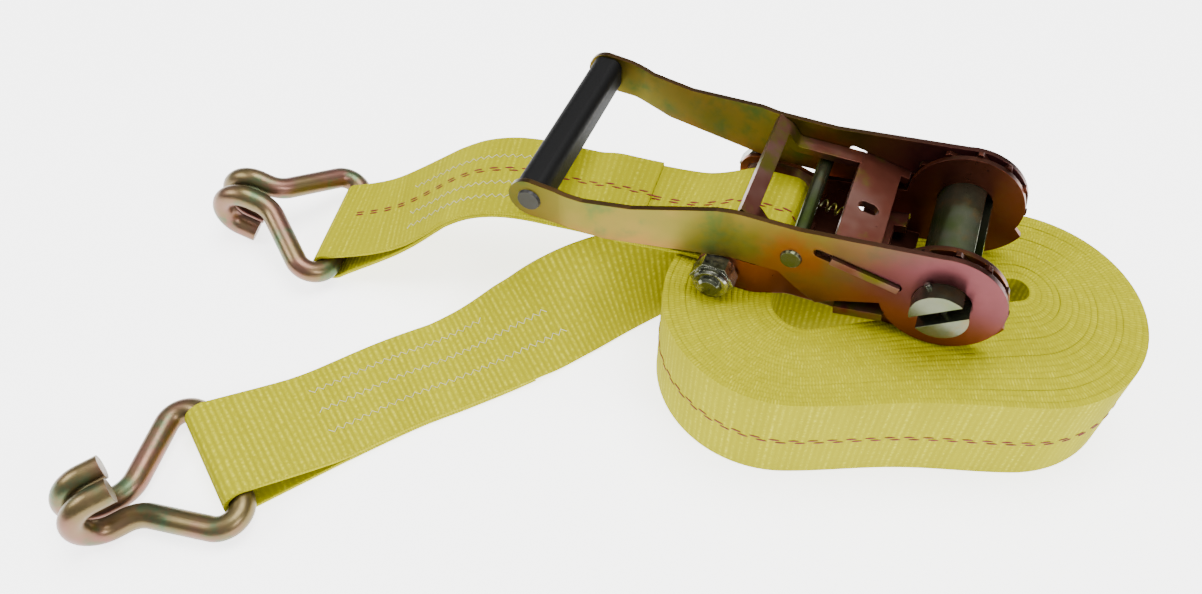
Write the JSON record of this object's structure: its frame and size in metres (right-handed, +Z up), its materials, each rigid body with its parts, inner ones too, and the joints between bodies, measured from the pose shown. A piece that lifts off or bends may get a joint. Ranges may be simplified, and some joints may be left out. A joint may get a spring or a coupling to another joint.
{
  "type": "ratchet tie down",
  "caption": "Ratchet tie down: webbing strap wound on edge with a wire hook, under a wide handle ratchet with its own short strap and hook.",
  "frame": {"origin": "on the floor, under the middle of the whole object as it lies", "axes": "+X along the ratchet from grip to spool, +Y across the ratchet away from the nut side, +Z up"},
  "size_m": [0.4322, 0.283, 0.1026],
  "materials": {
    "base_zinc": "yellow zinc plating, satin, with orange and pink interference colour",
    "handle_zinc": "yellow zinc plating, satin, olive arms and pink hub",
    "pawl_zinc": "yellow zinc plating, satin, pink and brown",
    "spool_zinc": "yellow zinc plating, bright, green and silver",
    "wheel_zinc": "yellow zinc plating, dark",
    "bolt_zinc": "yellow zinc plating, bright",
    "hook_zinc": "yellow zinc plating, satin bronze with pink and green",
    "spring_steel": "drawn spring wire",
    "black_steel": "black oxide",
    "grip_plastic": "black moulded plastic, slightly worn",
    "webbing": "yellow polyester webbing, woven, with red tracer threads"
  },
  "bodies": {
    "long_strap": {"long_strap_coil": "webbing", "long_strap_run": "webbing", "long_strap_sewn_end": "webbing", "long_strap_hook_loop": "webbing"},
    "long_hook": {"long_strap_hook": "hook_zinc"},
    "ratchet_base": {"base_frame": "base_zinc", "anchor_bolt": "bolt_zinc", "anchor_washer": "bolt_zinc", "anchor_nut": "bolt_zinc", "lock_pawl_spring": "spring_steel"},
    "lock_pawl": {"lock_pawl": "pawl_zinc"},
    "spool": {"spool_half_upper": "spool_zinc", "spool_half_lower": "spool_zinc", "ratchet_wheel_front": "wheel_zinc", "ratchet_wheel_back": "wheel_zinc", "hub_cotter_pins": "bolt_zinc"},
    "handle": {"handle_plate_front": "handle_zinc", "handle_plate_back": "handle_zinc", "handle_cross_rod": "spool_zinc", "grip_rod": "black_steel", "grip_sleeve": "grip_plastic", "drive_pawl_spring": "spring_steel"},
    "drive_pawl": {"drive_pawl": "pawl_zinc"},
    "short_strap": {"short_strap_bolt_loop": "webbing", "short_strap_run": "webbing", "short_strap_hook_loop": "webbing"},
    "short_hook": {"short_strap_hook": "hook_zinc"}
  },
  "joints": [
    {"name": "long_hook_swing", "type": "hinge", "parent": "long_strap", "child": "long_hook", "pos_m": [-0.13153, -0.084, 0.0082], "axis": [-0.809, 0.5878, 0], "range_deg": [0, 90]},
    {"name": "ratchet_lift", "type": "slide", "parent": "long_strap", "child": "ratchet_base", "axis": [0, 0, 1], "range_m": [0, 0.15]},
    {"name": "handle_swing", "type": "hinge", "parent": "ratchet_base", "child": "handle", "pos_m": [0.13097, 0.085, 0.0774], "axis": [0, 1, 0], "range_deg": [0, 180]},
    {"name": "spool_turn", "type": "hinge", "parent": "ratchet_base", "child": "spool", "pos_m": [0.13097, 0.085, 0.0774], "axis": [0, 1, 0], "continuous": true},
    {"name": "lock_pawl_slide", "type": "slide", "parent": "ratchet_base", "child": "lock_pawl", "axis": [-0.9848, 0, -0.1736], "range_m": [0, 0.0045], "stiffness_N_per_m": 400, "springref_m": -0.01, "deforming": ["lock_pawl_spring"]},
    {"name": "drive_pawl_slide", "type": "slide", "parent": "handle", "child": "drive_pawl", "axis": [-0.9781, 0, 0.2079], "range_m": [0, 0.0065], "stiffness_N_per_m": 400, "springref_m": -0.01, "deforming": ["drive_pawl_spring"]},
    {"name": "short_strap_swing", "type": "hinge", "parent": "ratchet_base", "child": "short_strap", "pos_m": [0.04047, 0.085, 0.0599], "axis": [0, 1, 0], "range_deg": [0, 5]},
    {"name": "short_hook_swing", "type": "hinge", "parent": "short_strap", "child": "short_hook", "pos_m": [-0.15103, 0.05, 0.0082], "axis": [-0.1908, 0.9816, 0], "range_deg": [0, 60]}
  ]
}
